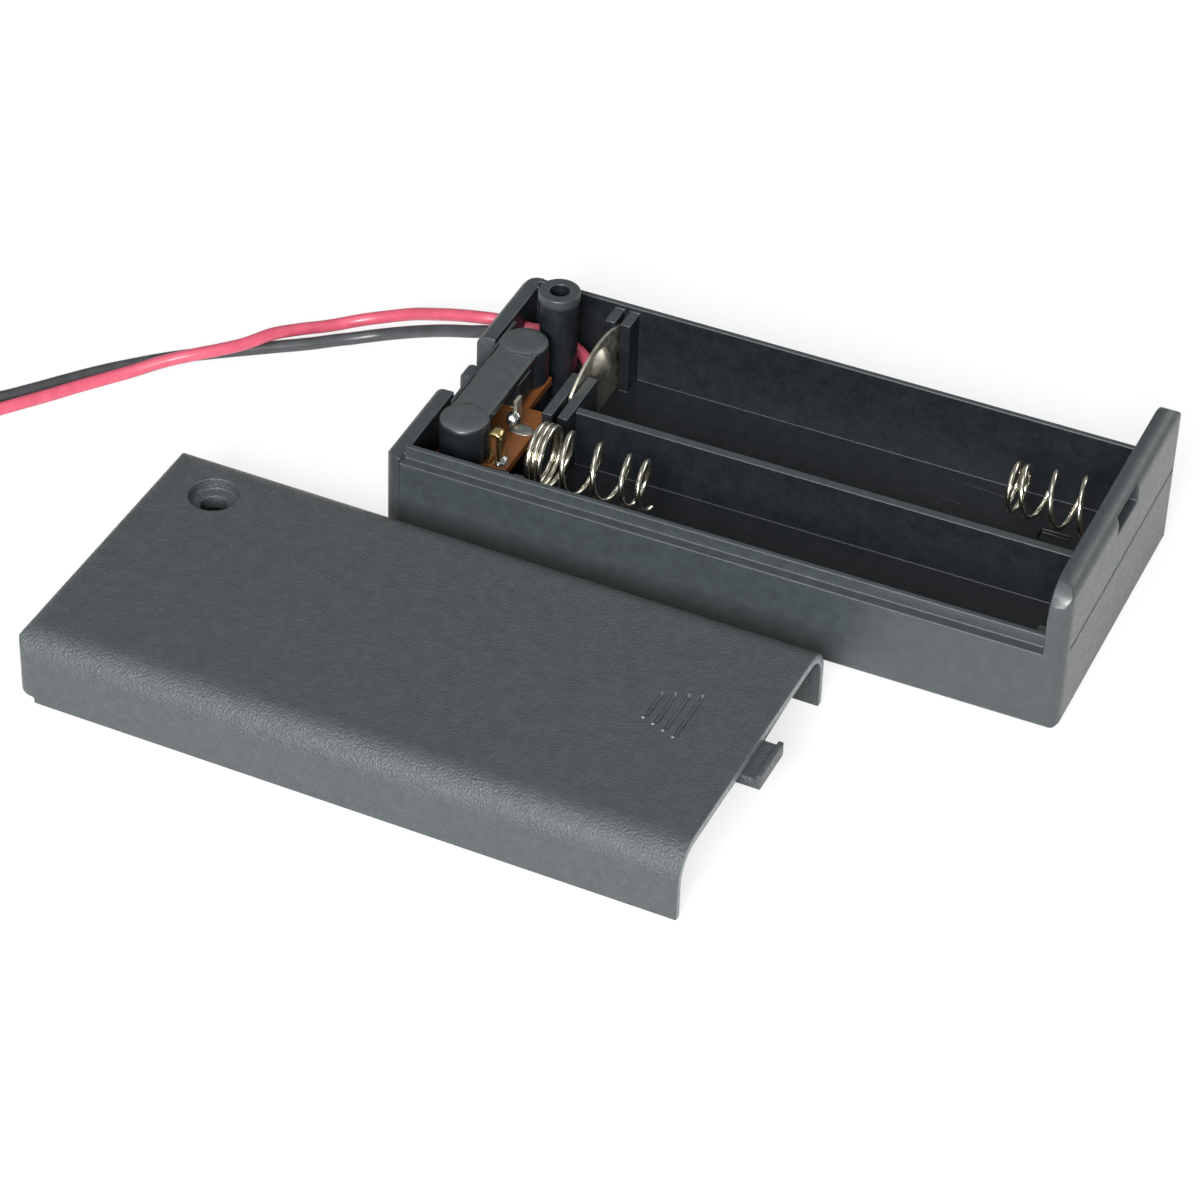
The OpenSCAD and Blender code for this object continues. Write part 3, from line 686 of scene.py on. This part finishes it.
# ---------------------------------------------------------------- leads inside
RUN_Z = 1.9
HOLE_Z = 5.4
RED_HOLE_Y = 11.2
BLACK_HOLE_Y = 9.1
RIBS_X = -21.95
PLATE_X = -20.7
RED_END_Y = 6.5
RED_END_Z = 5


def inner_leads():
    """The two leads inside the switch end, along the same points as their solids."""
    wall = corners("tray")[0].x
    inner = wall + WALL_T
    x, y = BOSS.x, BOSS.y
    red = [(wall, RED_HOLE_Y, HOLE_Z), (inner + 0.15, RED_HOLE_Y, HOLE_Z),
           (x - 2.6, y + 2.6, HOLE_Z - 0.3), (x - 1, y + 3.2, HOLE_Z - 1.1),
           (x + 0.8, y + 3.1, RUN_Z + 1.7), (x + 2.2, y + 2, RUN_Z + 1.5),
           (x + 2.7, y + 0.4, RUN_Z + 1.4), (RIBS_X - 0.8, RED_END_Y + 1.9, RUN_Z + 1.8),
           (PLATE_X - 1.2, RED_END_Y + 1.2, RED_END_Z - 0.6),
           (PLATE_X - 1, RED_END_Y + 0.6, RED_END_Z), (PLATE_X - 1, RED_END_Y, RED_END_Z)]
    black = [(wall, BLACK_HOLE_Y, HOLE_Z), (inner + 0.15, BLACK_HOLE_Y, HOLE_Z),
             (inner + 0.8, BLACK_HOLE_Y + 0.5, HOLE_Z - 0.5),
             (inner + 1.2, BLACK_HOLE_Y + 1.5, HOLE_Z - 1.4),
             (x - 2.3, y + 2.6, RUN_Z + 1.2), (x - 1, y + 3.2, RUN_Z + 0.3), (x + 1, y + 3, RUN_Z),
             (x + 2.4, y + 1.6, RUN_Z), (x + 2.7, y - 0.2, RUN_Z), (RIBS_X - 0.8, 5.85, RUN_Z),
             (RIBS_X - 0.9, 3, RUN_Z), (RIBS_X - 0.9, 0, RUN_Z + 0.1), (-23.85, -1.8, RUN_Z + 0.5)]
    for name, pts in (("red", red), ("black", black)):
        ob = wire(name + "_inner_wire", pts, LEAD_D, M[name])
        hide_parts(name + "_inner_lead")


def paint(node, mat):
    """Gives a CAD node that stays as it is its looks."""
    ob = frame["nodes"][node]
    ob.data.materials.clear()
    ob.data.materials.append(mat)


def add_shapes():
    tray()
    cover()
    stamped()
    retainer()
    slider()
    springs()
    solder()
    hook()
    mould_lines()
    grip_ends()
    solder_pool()
    inner_leads()
    for color in ("red", "black"):
        paint(color + "_tie", M["tie"])
        paint(color + "_end", M["copper"])


add_shapes()


# ---------------------------------------------------------------- stage
# How much of the floor's own shading the camera loses to plain white, and the light from all around
FLOOR_WHITE = 0.75
WORLD = 0.26
FLOOR_HALF = 1500
AIM = (-10, -15, 0)
# Each lamp's place, its width and height, and its power in watts
LAMPS = {
    "key": ((120, -750, 450), (400, 300), 16),
    "top": ((-100, -200, 800), (500, 500), 1.8),
    "back": ((400, 600, 350), (600, 300), 1.6),
}


def floor():
    """A plain pale floor that is near white to the camera and keeps a soft part of the real shadow."""
    s = Surface("floor", Roughness=0.9)
    s.vary("Base Color", s.noise(0.02), (0.80, 0.80, 0.80), (0.84, 0.84, 0.84))
    white = s.node("ShaderNodeEmission", Color=(1, 1, 1, 1))
    share = s.node("ShaderNodeMath", operation="MULTIPLY")
    share.inputs[1].default_value = FLOOR_WHITE
    mix = s.node("ShaderNodeMixShader")
    s.link(s.node("ShaderNodeLightPath").outputs["Is Camera Ray"], share.inputs[0])
    s.link(share.outputs[0], mix.inputs[0])
    s.link(s.shader.outputs[0], mix.inputs[1])
    s.link(white.outputs[0], mix.inputs[2])
    s.link(mix.outputs[0], s.tree.nodes["Material Output"].inputs["Surface"])

    mesh = bpy.data.meshes.new("floor")
    half = FLOOR_HALF * MM
    square = [(-half, -half, 0), (half, -half, 0), (half, half, 0), (-half, half, 0)]
    mesh.from_pydata(square, [], [(0, 1, 2, 3)])
    mesh.materials.append(s.material)
    ob = bpy.data.objects.new("floor", mesh)
    scene.collection.objects.link(ob)


def sky():
    """White to the camera past the floor's edge, and WORLD to everything else."""
    world = bpy.data.worlds.new("world")
    world.use_nodes = True
    scene.world = world
    tree = world.node_tree
    background = tree.nodes["Background"]
    background.inputs["Color"].default_value = (1, 1, 1, 1)
    level = tree.nodes.new("ShaderNodeMath")
    level.operation = "MAXIMUM"
    level.inputs[1].default_value = WORLD
    tree.links.new(tree.nodes.new("ShaderNodeLightPath").outputs["Is Camera Ray"], level.inputs[0])
    tree.links.new(level.outputs[0], background.inputs["Strength"])


def lamps():
    for name, (at, size, power) in LAMPS.items():
        data = bpy.data.lights.new(name, "AREA")
        data.shape = "RECTANGLE"
        data.size, data.size_y = (side * MM for side in size)
        data.energy = power
        ob = bpy.data.objects.new(name, data)
        ob.location = Vector(at) * MM
        ob.rotation_euler = (Vector(AIM) - Vector(at)).to_track_quat("-Z", "Y").to_euler()
        scene.collection.objects.link(ob)


floor()
sky()
lamps()
scene.view_settings.view_transform = "Standard"
